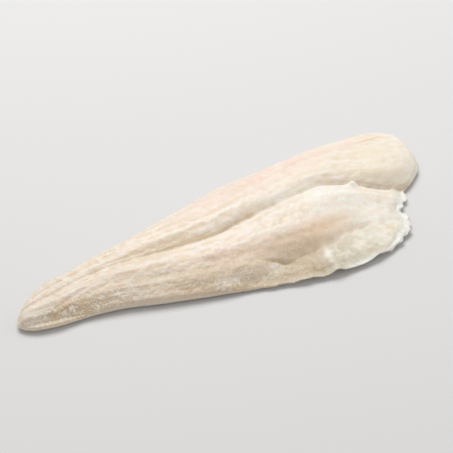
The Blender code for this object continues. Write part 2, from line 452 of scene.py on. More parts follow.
    def underside(self, distance: Array, y: Array, across: Array) -> Array:
        """Gives the height of the lower side, which is flat except near the rim and under the flap."""
        edge = np.where(across >= 0, self.far_y.down(distance), self.near_y.down(distance))
        from_side = np.abs(edge - self.seam_y.down(distance)) * (1 - np.abs(across))
        margin = np.minimum(from_side, np.minimum(*self.ends(distance, across)))
        lift = self.rim_lift * (1 - ease(margin, 0.0, self.sole_edge))
        return np.clip(lift + np.where(across < 0, self.flap_wave(distance, y), 0.0), 0.0, None)

    def fine_relief(self, distance: Array, y: Array, across: Array) -> Array:
        """Gives the height of the upper side's fine streaks, fibres, pebbles, grain, creases and knob."""
        flap = np.where(across >= 0, 0.0, 1 - self.muscle_share(distance, y))
        flap = flap * ease(distance, *self.flap_starts)
        fade = ease(1 - np.abs(across), 0.0, self.wrinkle_fade)
        fan = across * self.fan_width
        muscle = self.fine_streaks.over(distance, fan) + self.fibres.over(distance, fan)
        skin = self.pebbles.over(distance + self.pebble_slant * y, y) + self.grain.over(distance, y)
        skin = skin * (1 - (1 - self.skin_left) * ease(distance, *self.smooth_end))
        folds = self.wrinkles.over(distance + self.wrinkle_slant * y, y) + self.crumple.over(distance, y)
        shapes = sum(spot.over(distance, y) for spot in self.creases + self.knob) * MM
        from_seam = (y - self.seam_y.down(distance)) / self.fray_width
        frays = self.frays.over(distance, y) * bell(from_seam) * ease(distance, *self.fray_starts)
        return muscle * (1 - flap) + skin + folds * flap * fade + shapes + frays

    def thinned(self, top: Array, under: Array, distance: Array, y: Array, across: Array) -> Array:
        """Thins the flap to its torn edge.

        Args:
            top: Height of each point's upper side.
            under: Height of each point's lower side.
            distance: Distance of each point from the tail.
            y: Y of each point.
            across: Place across of each point.

        Returns:
            The thinned flap's height.
        """
        beside_flap = ease(distance, *self.flap_starts)
        from_side = np.where(beside_flap > 0, (y - self.near_y.down(distance)) * beside_flap, 1.0)
        _, from_head = self.ends(distance, across)
        from_edge = np.minimum(from_side, from_head)
        left = self.edge_share + (1 - self.edge_share) * ease(from_edge, 0.0, self.edge_taper)
        flap = beside_flap * (across < 0)
        return under + (top - under) * (1 - flap + flap * left)


@dataclass
class Sheet:
    """The fillet's points on a lattice, with columns from tail to head and rows from near to far edge."""

    form: FilletForm
    columns: int = 336
    rows: int = 142
    seam_row_share: float = 0.61
    edge_density: float = 1.6  # over 1, the rows lie closer together at the flap's edge
    proudest_ridge: float = 0.5 * MM

    column: Array = field(init=False)
    across: Array = field(init=False)
    distance: Array = field(init=False)
    y: Array = field(init=False)
    top: Array = field(init=False)
    under: Array = field(init=False)
    ridge: Array = field(init=False)

    def __post_init__(self) -> None:
        """Works out the points."""
        share = np.linspace(0.0, 1.0, self.rows + 1)
        near = np.clip(share / self.seam_row_share, 0.0, 1.0) ** self.edge_density - 1
        far = (share - self.seam_row_share) / (1 - self.seam_row_share)
        place = np.where(share < self.seam_row_share, near, far)
        self.column, self.across = np.meshgrid(np.linspace(0.0, 1.0, self.columns + 1), place, indexing="ij")
        self.distance, self.y = self.form.plan(self.column, self.across)
        places = (self.distance, self.y, self.across)
        self.under = self.form.underside(*places)
        smooth_top = self.form.top(*places)
        fine = self.form.fine_relief(*places)
        thin_top = self.form.thinned(smooth_top + fine, self.under, *places)
        highest = smooth_top.max() + self.form.most_proud
        self.top = np.clip(thin_top, self.under + self.form.least_thick, highest)
        self.ridge = np.clip(0.5 + 0.5 * fine / self.proudest_ridge, 0.0, 1.0)

    @property
    def x(self) -> Array:
        """X of each point, with the origin halfway along the fillet."""
        return self.distance - 0.5 * self.form.length

    def rim(self) -> tuple[Array, Array]:
        """Gives the column and row of each rim point, in order round from the near corner at the tail."""
        last_column, last_row = self.columns, self.rows
        loop = [(i, 0) for i in range(last_column)] + [(last_column, j) for j in range(last_row)]
        loop += [(i, last_row) for i in range(last_column, 0, -1)] + [(0, j) for j in range(last_row, 0, -1)]
        i, j = np.array(loop).T
        return i, j

    def outward(self) -> tuple[Array, Array]:
        """Works out which way is out along the rim.

        Returns:
            The X and Y of the outward direction at each lattice point, which is nothing inside the rim.
        """
        i, j = self.rim()
        x, y = self.x[i, j], self.y[i, j]
        along_x, along_y = np.roll(x, -2) - np.roll(x, 2), np.roll(y, -2) - np.roll(y, 2)
        length = np.hypot(along_x, along_y)
        out_x, out_y = np.zeros_like(self.x), np.zeros_like(self.x)
        out_x[i, j], out_y[i, j] = along_y / length, -along_x / length
        return out_x, out_y


# Finishes.


@dataclass(frozen=True)
class NoiseSize:
    """The size of a noise in metres, along its first coordinate and its others, and its finer layers."""

    length: float
    width: float
    detail: float = 3.0


class NodeDesk:
    """A material's node tree, with short ways to add and join nodes."""

    # The Mix node's colour sockets have the same names as its others, so they are told by number.
    MIX_BELOW, MIX_ABOVE, MIX_RESULT = 6, 7, 2

    def __init__(self, name: str) -> None:
        """Makes an empty material with a Principled shader."""
        self.material = bpy.data.materials.new(name)
        self.material.use_nodes = True
        self.tree = self.material.node_tree
        self.shader = self.tree.nodes["Principled BSDF"]

    def add(self, kind: str, **settings: object) -> bpy.types.Node:
        """Adds a node and sets its properties."""
        node = self.tree.nodes.new(kind)
        for key, value in settings.items():
            setattr(node, key, value)
        return node

    def put(self, value: object, target: Socket) -> None:
        """Links a socket to an input, or sets the input's own value from a number or a colour."""
        if isinstance(value, Socket):
            self.tree.links.new(value, target)
        else:
            target.default_value = (*value, 1.0) if isinstance(value, tuple) and len(value) == 3 else value

    def math(self, operation: str, first: object, second: object = 0.0, clamp: bool = False) -> Socket:
        """Adds a Math node.

        Args:
            operation: Blender's name of the operation.
            first: A socket or a number.
            second: A socket or a number.
            clamp: Whether the result is kept between 0 and 1.

        Returns:
            The result's socket.
        """
        node = self.add("ShaderNodeMath", operation=operation, use_clamp=clamp)
        self.put(first, node.inputs[0])
        self.put(second, node.inputs[1])
        return node.outputs[0]

    def times(self, first: object, second: object) -> Socket:
        """Multiplies two sockets or numbers."""
        return self.math("MULTIPLY", first, second)

    def scaled(self, value: object, gain: float, base: float) -> Socket:
        """Multiplies a socket by a gain and adds a base."""
        return self.math("ADD", base, self.times(value, gain))

    def joined(self, first: Socket, second: Socket, share: float) -> Socket:
        """Adds a share of one socket to the rest of another."""
        return self.math("ADD", self.times(first, share), self.times(second, 1 - share))

    def tint(self, base: object, colour: object, share: object) -> Socket:
        """Mixes a colour into another.

        Args:
            base: The colour below, as a socket or three numbers.
            colour: The colour above, as a socket or three numbers.
            share: How much of it shows, as a socket or a number.

        Returns:
            The mixed colour's socket.
        """
        node = self.add("ShaderNodeMix", data_type="RGBA", clamp_factor=True)
        self.put(share, node.inputs[0])
        self.put(base, node.inputs[self.MIX_BELOW])
        self.put(colour, node.inputs[self.MIX_ABOVE])
        return node.outputs[self.MIX_RESULT]

    def attribute(self, name: str) -> Socket:
        """Reads a number that each point of the piece holds."""
        return self.add("ShaderNodeAttribute", attribute_name=name).outputs["Fac"]

    def noise(self, source: Socket, size: NoiseSize) -> Socket:
        """Adds noise.

        Args:
            source: The coordinates it is read at.
            size: Its size and its finer layers.

        Returns:
            The noise's socket, from 0 to 1.
        """
        mapping = self.add("ShaderNodeMapping")
        mapping.inputs["Scale"].default_value = (1 / size.length, 1 / size.width, 1 / size.width)
        self.put(source, mapping.inputs["Vector"])
        node = self.add("ShaderNodeTexNoise")
        node.inputs["Scale"].default_value = 1.0
        node.inputs["Detail"].default_value = size.detail
        self.put(mapping.outputs["Vector"], node.inputs["Vector"])
        return node.outputs[0]

    def span(self, value: Socket, low: float, high: float) -> Socket:
        """Maps a range of values softly to 0 and 1."""
        node = self.add("ShaderNodeMapRange", interpolation_type="SMOOTHSTEP")
        node.inputs["From Min"].default_value = low
        node.inputs["From Max"].default_value = high
        self.put(value, node.inputs["Value"])
        return node.outputs[0]

    def bump(self, height: Socket, depth: float, below: Socket | None = None) -> Socket:
        """Turns heights of 0 to 1 into a bump of a depth in metres, on top of another bump."""
        node = self.add("ShaderNodeBump")
        node.inputs["Distance"].default_value = depth
        self.put(height, node.inputs["Height"])
        if below is not None:
            self.put(below, node.inputs["Normal"])
        return node.outputs[0]

    def glow(self, weight: float, depth: float, radius: Colour) -> None:
        """Sets how light soaks into the surface: its share, its depth in metres and each colour's reach."""
        self.shader.inputs["Subsurface Weight"].default_value = weight
        self.shader.inputs["Subsurface Scale"].default_value = depth
        self.shader.inputs["Subsurface Radius"].default_value = radius

    def coat(self, weight: float, roughness: float) -> None:
        """Sets the wet film on the surface: its share and its roughness."""
        self.shader.inputs["Coat Weight"].default_value = weight
        self.shader.inputs["Coat Roughness"].default_value = roughness


class Tone(Enum):
    """The tints that the flesh takes in places: its own pinks, peach and cream, painted shade that is partly
    its own tan, and white that is partly frost and membrane and partly painted light. Each is also a point
    attribute's name.
    """

    BLUSH = "blush"
    PEACH = "peach"
    CREAM = "cream"
    SHADE = "shade_and_tan"
    WHITE = "white"


@dataclass(frozen=True)
class FleshFinish:
    """Frozen raw flesh: translucent cream with soft streaks, pink and peach tints and a greyer flap, with
    painted shade in hollows, creases, the seam and low slopes and painted light on crests.
    """

    # These two colour the muscle's ridges and hollows; the warmer hollows are painted shade, and the warm
    # colour is also the fibres' own tone.
    pale: Colour = (0.925, 0.85, 0.76)
    warm: Colour = (0.85, 0.72, 0.56)
    blush: Colour = (0.90, 0.68, 0.585)
    peach: Colour = (0.85, 0.65, 0.47)
    cream: Colour = (0.84, 0.77, 0.57)
    flap: Colour = (0.565, 0.55, 0.435)
    flap_light: Colour = (0.80, 0.77, 0.67)
    # This white is frost, membrane and folds, and also painted light on crests and highlights.
    white: Colour = (0.985, 0.95, 0.885)
    # This colour is painted shade, partly the flesh's own tan; under the fillet it is a dim line along the
    # middle, the flesh's own colour.
    shade_and_tan: Colour = (0.50, 0.36, 0.20)
    sole: Colour = (0.84, 0.775, 0.69)
    septum: Colour = (0.95, 0.90, 0.81)
    skin_trace: Colour = (0.60, 0.53, 0.45)
    septum_spacing: float = 6.5 * MM
    septum_bend: float = 5.0
    roughness: float = 0.4
    specular: float = 0.45

    fibre_strength: float = 0.3
    flap_strength: float = 0.8
    septum_strength: float = 0.26
    skin_strength: float = 0.3
    frost_strength: float = 0.6

    streaks: NoiseSize = NoiseSize(42 * MM, 4.5 * MM)
    fibres: NoiseSize = NoiseSize(13 * MM, 1.1 * MM, 4.0)
    clouds: NoiseSize = NoiseSize(15 * MM, 15 * MM)
    mottles: NoiseSize = NoiseSize(3.0 * MM, 3.0 * MM)
    flecks: NoiseSize = NoiseSize(1.15 * MM, 1.15 * MM, 2.0)
    grains: NoiseSize = NoiseSize(0.5 * MM, 0.5 * MM, 2.0)
    patches: NoiseSize = NoiseSize(7 * MM, 7 * MM, 5.0)
    traces: NoiseSize = NoiseSize(60 * MM, 14 * MM)

    def material(self) -> bpy.types.Material:
        """Builds the material."""
        desk = NodeDesk("flounder_flesh")
        strand = desk.add("ShaderNodeUVMap", uv_map="strand").outputs[0]
        place = desk.add("ShaderNodeTexCoord").outputs["Object"]
        fibre, cloud = desk.noise(strand, self.fibres), desk.noise(place, self.clouds)
        mottle, fleck = desk.noise(place, self.mottles), desk.noise(place, self.flecks)
        mixed = desk.joined(cloud, mottle, 0.5)
        walls = self.septa(desk, strand, cloud)

        colour = self.muscle(desk, strand, fibre, mixed)
        patch = desk.span(desk.noise(place, self.patches), 0.44, 0.6)
        sheet = desk.tint(self.flap, self.flap_light, patch)
        colour = desk.tint(colour, sheet, desk.times(desk.attribute("flap"), self.flap_strength))
        colour = desk.tint(colour, self.septum, desk.times(walls, self.septum_strength))
        colour = desk.tint(colour, self.skinned_side(desk, strand, walls), desk.attribute("under"))
        # Painted shade in creases, the seam, the low slopes and the tail, partly the flesh's own tan, broken
        # by mottling.
        shaded = desk.times(desk.attribute(Tone.SHADE.value), desk.scaled(mottle, 0.6, 0.55))
        colour = desk.tint(colour, self.shade_and_tan, shaded)
        # White that is frost, membrane and folds in places, and painted light on the crests, the far end, the
        # knob's top and the tail.
        broken = desk.scaled(desk.span(mixed, 0.38, 0.6), 0.65, 0.55)
        colour = desk.tint(colour, self.white, desk.times(desk.attribute(Tone.WHITE.value), broken))
        specks = desk.span(desk.joined(mottle, fleck, 0.6), 0.5, 0.64)
        frosted = desk.times(desk.attribute("frost"), specks)
        colour = desk.tint(colour, self.white, desk.times(frosted, self.frost_strength))
        desk.put(colour, desk.shader.inputs["Base Color"])

        rough = desk.scaled(mottle, 0.16, self.roughness)
        rough = desk.math("ADD", rough, desk.times(frosted, 0.25), clamp=True)
        desk.put(rough, desk.shader.inputs["Roughness"])
        low = desk.bump(fibre, 0.09 * MM)
        middle = desk.bump(fleck, 0.25 * MM, low)
        fine = desk.bump(desk.noise(place, self.grains), 0.12 * MM, middle)
        desk.put(fine, desk.shader.inputs["Normal"])
        desk.glow(0.35, 5 * MM, (1.0, 0.48, 0.28))
        desk.coat(0.15, 0.3)
        desk.shader.inputs["Specular IOR Level"].default_value = self.specular
        return desk.material

    def muscle(self, desk: NodeDesk, strand: Socket, fibre: Socket, mixed: Socket) -> Socket:
        """Colours the muscle: pale ridges and warmer hollows, whose warmth is painted shade, and the broken
        tints over both.

        Args:
            desk: The material that is built.
            strand: Coordinates along and across the muscle.
            fibre: Fine noise along the muscle.
            mixed: Broad noise that breaks the tints up.

        Returns:
            The socket of its colour.
        """
        # Painted shade: the muscle is warmer where the relief is low and paler where it is high; the streak
        # noise mixed in is its own streaks.
        ridges = desk.joined(desk.attribute("ridge"), desk.noise(strand, self.streaks), 0.6)
        colour = desk.tint(self.warm, self.pale, desk.span(ridges, 0.33, 0.6))
        colour = desk.tint(colour, self.warm, desk.times(desk.span(fibre, 0.45, 0.72), self.fibre_strength))
        broken = desk.scaled(desk.span(mixed, 0.36, 0.62), 0.6, 0.4)
        for tone, tint in ((Tone.BLUSH, self.blush), (Tone.PEACH, self.peach), (Tone.CREAM, self.cream)):
            colour = desk.tint(colour, tint, desk.times(desk.attribute(tone.value), broken))
        return colour

    def skinned_side(self, desk: NodeDesk, strand: Socket, walls: Socket) -> Socket:
        """Colours the underside, with traces of the skin and of the walls between the flakes.

        Args:
            desk: The material that is built.
            strand: Coordinates along and across the muscle.
            walls: How strongly the walls show.

        Returns:
            The socket of its colour.
        """
        trace = desk.span(desk.noise(strand, self.traces), 0.42, 0.7)
        skin = desk.tint(self.sole, self.skin_trace, desk.times(trace, self.skin_strength))
        return desk.tint(skin, self.skin_trace, desk.times(walls, self.skin_strength))

    def septa(self, desk: NodeDesk, strand: Socket, cloud: Socket) -> Socket:
        """Draws the thin pale walls between the muscle's flakes, faint and broken.

        Args:
            desk: The material that is built.
            strand: Coordinates along and across the muscle.
            cloud: Broad noise that breaks them up.

        Returns:
            The socket of their strength.
        """
        split = desk.add("ShaderNodeSeparateXYZ")
        desk.put(strand, split.inputs[0])
        phase = desk.times(split.outputs[0], math.pi / self.septum_spacing)
        phase = desk.math("ADD", phase, desk.times(cloud, self.septum_bend))
        wave = desk.math("ABSOLUTE", desk.math("SINE", phase))
        return desk.times(desk.span(wave, 0.25, 0.0), desk.span(cloud, 0.35, 0.6))


@dataclass(frozen=True)
class MembraneFinish:
    """Thin torn membrane: white and translucent, with a wet gleam."""

    colour: Colour = (0.94, 0.91, 0.835)
    clear: Colour = (0.84, 0.79, 0.68)
    roughness: float = 0.28
    clouds: NoiseSize = NoiseSize(2.2 * MM, 2.2 * MM)
    grains: NoiseSize = NoiseSize(0.5 * MM, 0.5 * MM, 2.0)

    def material(self) -> bpy.types.Material:
        """Builds the material."""
        desk = NodeDesk("torn_membrane")
        place = desk.add("ShaderNodeTexCoord").outputs["Object"]
        cloud, grain = desk.noise(place, self.clouds), desk.noise(place, self.grains)
        colour = desk.tint(self.clear, self.colour, desk.span(cloud, 0.32, 0.55))
        desk.put(colour, desk.shader.inputs["Base Color"])
        desk.put(desk.scaled(grain, 0.3, self.roughness), desk.shader.inputs["Roughness"])
        desk.put(desk.bump(grain, 0.15 * MM), desk.shader.inputs["Normal"])
        desk.glow(0.4, 1.5 * MM, (1.0, 0.8, 0.65))
        desk.coat(0.2, 0.2)
        return desk.material


@dataclass(frozen=True)
class FrostFinish:
    """Dry white frost."""

    colour: Colour = (0.98, 0.955, 0.91)
    dim: Colour = (0.95, 0.915, 0.85)
    roughness: float = 0.45
    glints: NoiseSize = NoiseSize(0.3 * MM, 0.3 * MM, 1.0)

    def material(self) -> bpy.types.Material:
        """Builds the material."""
        desk = NodeDesk("dry_frost")
        glint = desk.noise(desk.add("ShaderNodeTexCoord").outputs["Object"], self.glints)
        colour = desk.tint(self.dim, self.colour, desk.span(glint, 0.35, 0.6))
        desk.put(colour, desk.shader.inputs["Base Color"])
        desk.put(desk.scaled(glint, 0.3, self.roughness), desk.shader.inputs["Roughness"])
        return desk.material


@dataclass(frozen=True)
class FloorFinish:
    """A matt white studio floor."""

    colour: Colour = (0.74, 0.74, 0.745)
    roughness: float = 0.85
    specular: float = 0.2

    def material(self) -> bpy.types.Material:
        """Builds the material."""
        desk = NodeDesk("white_floor")
        desk.put(self.colour, desk.shader.inputs["Base Color"])
        desk.shader.inputs["Roughness"].default_value = self.roughness
        desk.shader.inputs["Specular IOR Level"].default_value = self.specular
        return desk.material


# Modelling.


def deselect_all() -> None:
    """Leaves nothing selected, also none of the solid's own objects."""
    for obj in bpy.context.view_layer.objects:
        obj.select_set(False)


def only(obj: bpy.types.Object) -> None:
    """Selects one object and makes it the active one."""
    deselect_all()
    obj.select_set(True)
    bpy.context.view_layer.objects.active = obj


def points_of(obj: bpy.types.Object) -> Array:
    """Gives the places of an object's points, one row each."""
    flat = np.empty(len(obj.data.vertices) * 3)
    obj.data.vertices.foreach_get("co", flat)
    return flat.reshape(-1, 3)


def set_points(obj: bpy.types.Object, places: Array) -> None:
    """Moves an object's points."""
    obj.data.vertices.foreach_set("co", places.ravel())
    obj.data.update()


def hold(obj: bpy.types.Object, name: str, values: Array) -> None:
    """Stores a number on each point of an object."""
    obj.data.attributes.new(name, "FLOAT", "POINT").data.foreach_set("value", values.astype(np.float32))


def grid(name: str, columns: int, rows: int) -> bpy.types.Object:
    """Adds a flat grid.

    Args:
        name: The new object's name.
        columns: How many faces it has along X.
        rows: How many faces it has along Y.

    Returns:
        The grid, from -1 to 1 along both sides.
    """
    deselect_all()
    bpy.ops.mesh.primitive_grid_add(x_subdivisions=columns, y_subdivisions=rows, size=2.0, location=(0, 0, 0))
    bpy.context.object.name = name
    return bpy.context.object


def thicken(piece: bpy.types.Object, thickness: float, smooth_levels: int = 0) -> None:
    """Gives a sheet a thickness, and rounds it by subdivision where levels are given."""
    only(piece)
    bpy.ops.object.modifier_add(type="SOLIDIFY")
    piece.modifiers[-1].thickness = thickness
    piece.modifiers[-1].offset = 0.0
    bpy.ops.object.modifier_apply(modifier=piece.modifiers[-1].name)
    if smooth_levels:
        bpy.ops.object.modifier_add(type="SUBSURF")
        piece.modifiers[-1].levels = smooth_levels
        piece.modifiers[-1].render_levels = smooth_levels
        bpy.ops.object.modifier_apply(modifier=piece.modifiers[-1].name)
    bpy.ops.object.shade_smooth()


@dataclass
class FilletFlesh:
    """The flesh itself, one closed piece in place of the solid."""

    sheet: Sheet
    finish: FleshFinish = FleshFinish()
    wall_cuts: int = 3
    septum_arc: float = 10 * MM
    flap_look_width: Curve = Curve(
        (
            (0, 16), (60, 30), (90, 37), (108, 39.5), (130, 34.5), (152, 36.5), (173, 34), (184, 26),
            (193.5, 17), (202, 6), (215, 3),
        )
    )
    slope_line: Curve = Curve(
        ((0, -13), (40, -13.5), (75, -14.5), (95, -17.5), (125, -17.5), (145, -16), (160, -12.5), (190, -14))
    )
    spots: dict[Tone, tuple[Spot, ...]] = field(
        default_factory=lambda: {
            Tone.BLUSH: (
                Spot(27, -12.8, 17, 4.5, 14, 0.95),
                Spot(106, 20, 44, 10, 14, 0.5),
                Spot(141, 26, 50, 12, 8, 0.7),
                Spot(170, 30, 46, 12, 6, 0.6),
                Spot(150, 20, 60, 4, 8, 0.3),
                Spot(198, 34, 32, 11, 4, 0.5),
                Spot(105, -18.5, 30, 7, -8, 0.5),
                Spot(116, -22.6, 28, 9, 0, 0.55),
                Spot(140, -22.5, 30, 9, 0, 0.5),
                Spot(198, 2, 14, 6, -25, 0.35),
            ),
            Tone.PEACH: (
                Spot(155, -20.5, 46, 12, 10, 0.7),
                Spot(166.9, -15.7, 10, 4, 10, 0.9),
                Spot(175.2, -13.6, 9, 3.5, 10, 0.85),
                Spot(157.6, -19.7, 12, 5, 10, 0.4),
                Spot(122, -24, 64, 14, 0, 0.38),
                Spot(171, -24, 24, 9, 10, 0.35),
                Spot(64.5, -17.6, 16, 5, -10, 0.4),
                Spot(48, -14.9, 12, 4, -8, 0.4),
            ),
            Tone.CREAM: (
                Spot(214, 18, 34, 20, 0, 0.6),
                Spot(198, -38, 34, 18, 30, 0.5),
                Spot(203, 7.5, 36, 9, -14, 0.5),
                Spot(212, 1, 34, 7, -10, 0.6),
                Spot(176, 17, 34, 6, -4, 0.4),
                Spot(11, -17.5, 20, 8, -12, 0.8),
                Spot(26, -17.5, 30, 8, -8, 0.45),
            ),
            Tone.SHADE: (
                # Painted shade in creases, along the seam, under the knob, at the tail and on the low slopes
                # and flap, partly the flesh's own tan.
                Spot(131.5, -30.4, 12, 1.3, -16, 0.9),
                Spot(80, -0.5, 44, 7, 3, 0.1),
                Spot(128, 2.8, 36, 4, 14, 0.35),
                Spot(150, 1.5, 28, 6, 14, 0.2),
                Spot(70, -15, 40, 8, -10, 0.3),
                Spot(92, -25, 30, 9, -12, 0.25),
                Spot(48, -9, 30, 6, -3, 0.17),
                Spot(216, 32.5, 15, 1.6, 4, 0.3),
                Spot(214, -2, 20, 4, -8, 0.12),
                Spot(204, 3.6, 24, 2.4, -14, 0.25),
                Spot(189.6, 0.2, 5, 1.8, -20, 0.3),
                Spot(146, -27, 34, 7, 4, 0.1),
                Spot(150, -31, 24, 8, 8, 0.25),
                Spot(104, -37, 34, 10, -16, 0.45),
                Spot(150, -42, 22, 8, 0, 0.2),
                Spot(130, -41, 28, 10, -4, 0.3),
                Spot(26, -16, 26, 6, -2, 0.25),
                Spot(72, -25, 50, 8, -14, 0.2),
                Spot(17, -15.5, 15, 5, -4, 0.5),
                Spot(34, -18, 48, 8, -7, 0.4),
            ),
            Tone.WHITE: (
                # White frost clumps and folds; the two at the tail are also painted highlights.
                Spot(126, -31.5, 4.5, 2.4, 0, 0.85),
                Spot(156.2, -34.0, 10, 5, 30, 0.42),
                Spot(153.6, -39.4, 11, 4.4, 78, 0.55),
                Spot(102, -33, 9, 4, -5, 0.5),
                Spot(71, -20, 6, 4, 0, 0.4),
                Spot(31, -9, 9, 3, 8, 0.5),
                Spot(8.5, -14.5, 10, 7, 0, 0.45),
                # Painted light: on the near crest, the knob's top, the far end's rim and tip, and the near
                # slope by the head end.
                Spot(175, -1, 50, 20, -6, 0.75),
                Spot(190.6, 3.2, 4.4, 3.2, -24, 0.9),
                Spot(230, 33, 8, 18, 20, 0.45),
                Spot(232, 10, 18, 28, 0, 0.55),
                Spot(188, -14, 34, 18, -20, 0.5),
            ),
        }
    )

    frost_spots: tuple[Spot, ...] = (
        Spot(126, -31.5, 6, 3, 0, 0.6),
        Spot(102, -33, 12, 5, -5, 0.6),
        Spot(71, -20, 8, 5, 0, 0.5),
        Spot(55, -22, 9, 5, 0, 0.5),
        Spot(31, -10, 12, 5, 8, 0.35),
        Spot(8.5, -14.5, 12, 8, 0, 0.4),
    )

    # Where tints begin and end, mostly as distances from the tail.
    flap_tint_edge: Span = (0.82, 1.2)  # in shares of flap_look_width
    flap_tint_starts: Span = (105 * MM, 140 * MM)
    flap_tint_fades: Span = (160 * MM, 190 * MM)
    flap_tint_loss: float = 0.6
    torn_width: Span = (11 * MM, 2 * MM)  # from the head end
    slope_shadow_ends: Span = (142 * MM, 174 * MM)
    flap_shadow_ends: Span = (146 * MM, 156 * MM)
    tail_shadow_ends: Span = (5 * MM, 95 * MM)
    seam_line_width: float = 1.5 * MM
    seam_line_starts: Span = (50 * MM, 100 * MM)
    widest_reach: float = 1.3

    def build(self) -> bpy.types.Object:
        """Builds and dresses the piece."""
        piece = self.block()
        template = points_of(piece)
        i = np.rint((template[:, 0] + 1) / 2 * self.sheet.columns).astype(int)
        j = np.rint((template[:, 1] + 1) / 2 * self.sheet.rows).astype(int)
        level = template[:, 2]
        self.shape(piece, i, j, level)
        self.mark_strands(piece, i, j)
        self.mark_tints(piece, i, j, level)
        piece.data.materials.append(self.finish.material())
        only(piece)
        bpy.ops.object.shade_smooth()
        return piece

    def block(self) -> bpy.types.Object:
        """Makes a block 2 by 2 by 1 with the sheet's lattice on both sides and cuts round its wall."""
        piece = grid("fillet_flesh", self.sheet.columns, self.sheet.rows)
        bpy.context.tool_settings.mesh_select_mode = (False, True, False)
        bpy.ops.object.mode_set(mode="EDIT")
        bpy.ops.mesh.select_all(action="SELECT")
        bpy.ops.mesh.extrude_region_move(TRANSFORM_OT_translate={"value": (0, 0, 1)})
        bpy.ops.mesh.select_all(action="SELECT")
        bpy.ops.mesh.normals_make_consistent(inside=False)
        bpy.ops.mesh.select_all(action="DESELECT")
        bpy.ops.object.mode_set(mode="OBJECT")
        ends = np.empty(len(piece.data.edges) * 2, dtype=int)
        piece.data.edges.foreach_get("vertices", ends)
        heights = points_of(piece)[:, 2][ends.reshape(-1, 2)]
        piece.data.edges.foreach_set("select", np.abs(heights[:, 0] - heights[:, 1]) > 0.5)
        bpy.ops.object.mode_set(mode="EDIT")
        bpy.ops.mesh.subdivide(number_cuts=self.wall_cuts)
        bpy.ops.object.mode_set(mode="OBJECT")
        return piece

    def shape(self, piece: bpy.types.Object, i: Array, j: Array, level: Array) -> None:
        """Moves the block's points to the fillet's surface, with its wall rounded outwards.

        Args:
            piece: The block.
            i: Column of each point.
            j: Row of each point.
            level: 0 on the underside, 1 on the upper side and between them on the wall.
        """
        sheet = self.sheet
        out_x, out_y = sheet.outward()
        bulge = sheet.form.rim_bulge * np.sin(math.pi * level)
        rise = 0.5 - 0.5 * np.cos(math.pi * level)
        x = sheet.x[i, j] + out_x[i, j] * bulge
        y = sheet.y[i, j] + out_y[i, j] * bulge
        z = sheet.under[i, j] + (sheet.top[i, j] - sheet.under[i, j]) * rise
        set_points(piece, np.column_stack([x, y, z]))

    def mark_strands(self, piece: bpy.types.Object, i: Array, j: Array) -> None:
        """Stores coordinates that follow the muscle's strands, as the piece's UV map."""
        sheet, form = self.sheet, self.sheet.form
        distance, across = sheet.distance[i, j], sheet.across[i, j]
        reach = np.clip(form.muscle_reach(distance, sheet.y[i, j]), 0.0, self.widest_reach)
        band = np.where(across >= 0, across, reach)
        arc = self.septum_arc * (1 - (2 * band - 1) ** 2)
        strand = np.column_stack([distance - arc, across * form.fan_width])
        corners = np.empty(len(piece.data.loops), dtype=int)
        piece.data.loops.foreach_get("vertex_index", corners)
        layer = piece.data.uv_layers.active
        layer.name = "strand"
        layer.data.foreach_set("uv", strand[corners].ravel())

    def mark_tints(self, piece: bpy.types.Object, i: Array, j: Array, level: Array) -> None:
        """Stores the tints on the piece's points, for its material."""
        sheet, form = self.sheet, self.sheet.form
        distance, y, across = sheet.distance[i, j], sheet.y[i, j], sheet.across[i, j]
        upper = ease(level, 0.2, 0.9)
        flap = self.flap_tint(distance, y, across)
        _, from_head = form.ends(distance, across)
        tones = {tone: sum(spot.over(distance, y) for spot in spots) for tone, spots in self.spots.items()}
        torn = flap * ease(from_head, *self.torn_width)
        edge = flap * ease(np.abs(across), 0.93, 1.0)
        tones[Tone.WHITE] = (tones[Tone.WHITE] + 0.65 * torn + 0.14 * edge) * upper
        seam = bell((y - form.seam_y.down(distance)) / self.seam_line_width)
        tones[Tone.SHADE] = (tones[Tone.SHADE] + self.shadows(distance, y, flap, seam)) * upper
        # Under the fillet this tint is a dim line along the middle, the flesh's own colour and not shade.
        tones[Tone.SHADE] += 0.16 * (1 - upper) * seam
        for tone, values in tones.items():
            hold(piece, tone.value, np.clip(values, 0.0, 1.0))
        hold(piece, "flap", flap * upper)
        hold(piece, "under", 1 - ease(level, 0.1, 0.7))
        hold(piece, "ridge", sheet.ridge[i, j] * upper)
        hold(piece, "frost", self.frost(distance, y, across) * upper)

    def flap_tint(self, distance: Array, y: Array, across: Array) -> Array:
        """Gives how strongly the flap's own colour shows, which is less towards the head end."""
        look = (self.sheet.form.seam_y.down(distance) - y) / self.flap_look_width.down(distance)
        flap = np.where(across >= 0, 0.0, ease(look, *self.flap_tint_edge))
        flap = flap * ease(distance, *self.flap_tint_starts)
        return flap * (1 - self.flap_tint_loss * ease(distance, *self.flap_tint_fades))

    def shadows(self, distance: Array, y: Array, flap: Array, seam: Array) -> Array:
        """Says how dark the upper side is on its low slope, at the tail and in the seam.

        Args:
            distance: Distance of each point from the tail.
            y: Y of each point.
            flap: How strongly the flap's colour shows there.
            seam: 1 on the seam's line, and nothing beside it.

        Returns:
            The strength of the dark tint at each point.
        """
        below = (self.slope_line.down(distance) - y) / MM
        low_slope = 0.2 * ease(below, -1.0, 2.5) + 0.3 * ease(below, 1.0, 14.0)
        low_slope = low_slope * (1 - ease(distance, *self.slope_shadow_ends))
        low_slope = low_slope + 0.14 * flap * (1 - ease(distance, *self.flap_shadow_ends))
        tail = 1 - ease(distance, *self.tail_shadow_ends)
        return low_slope + 0.2 * tail + 0.4 * seam * ease(distance, *self.seam_line_starts)

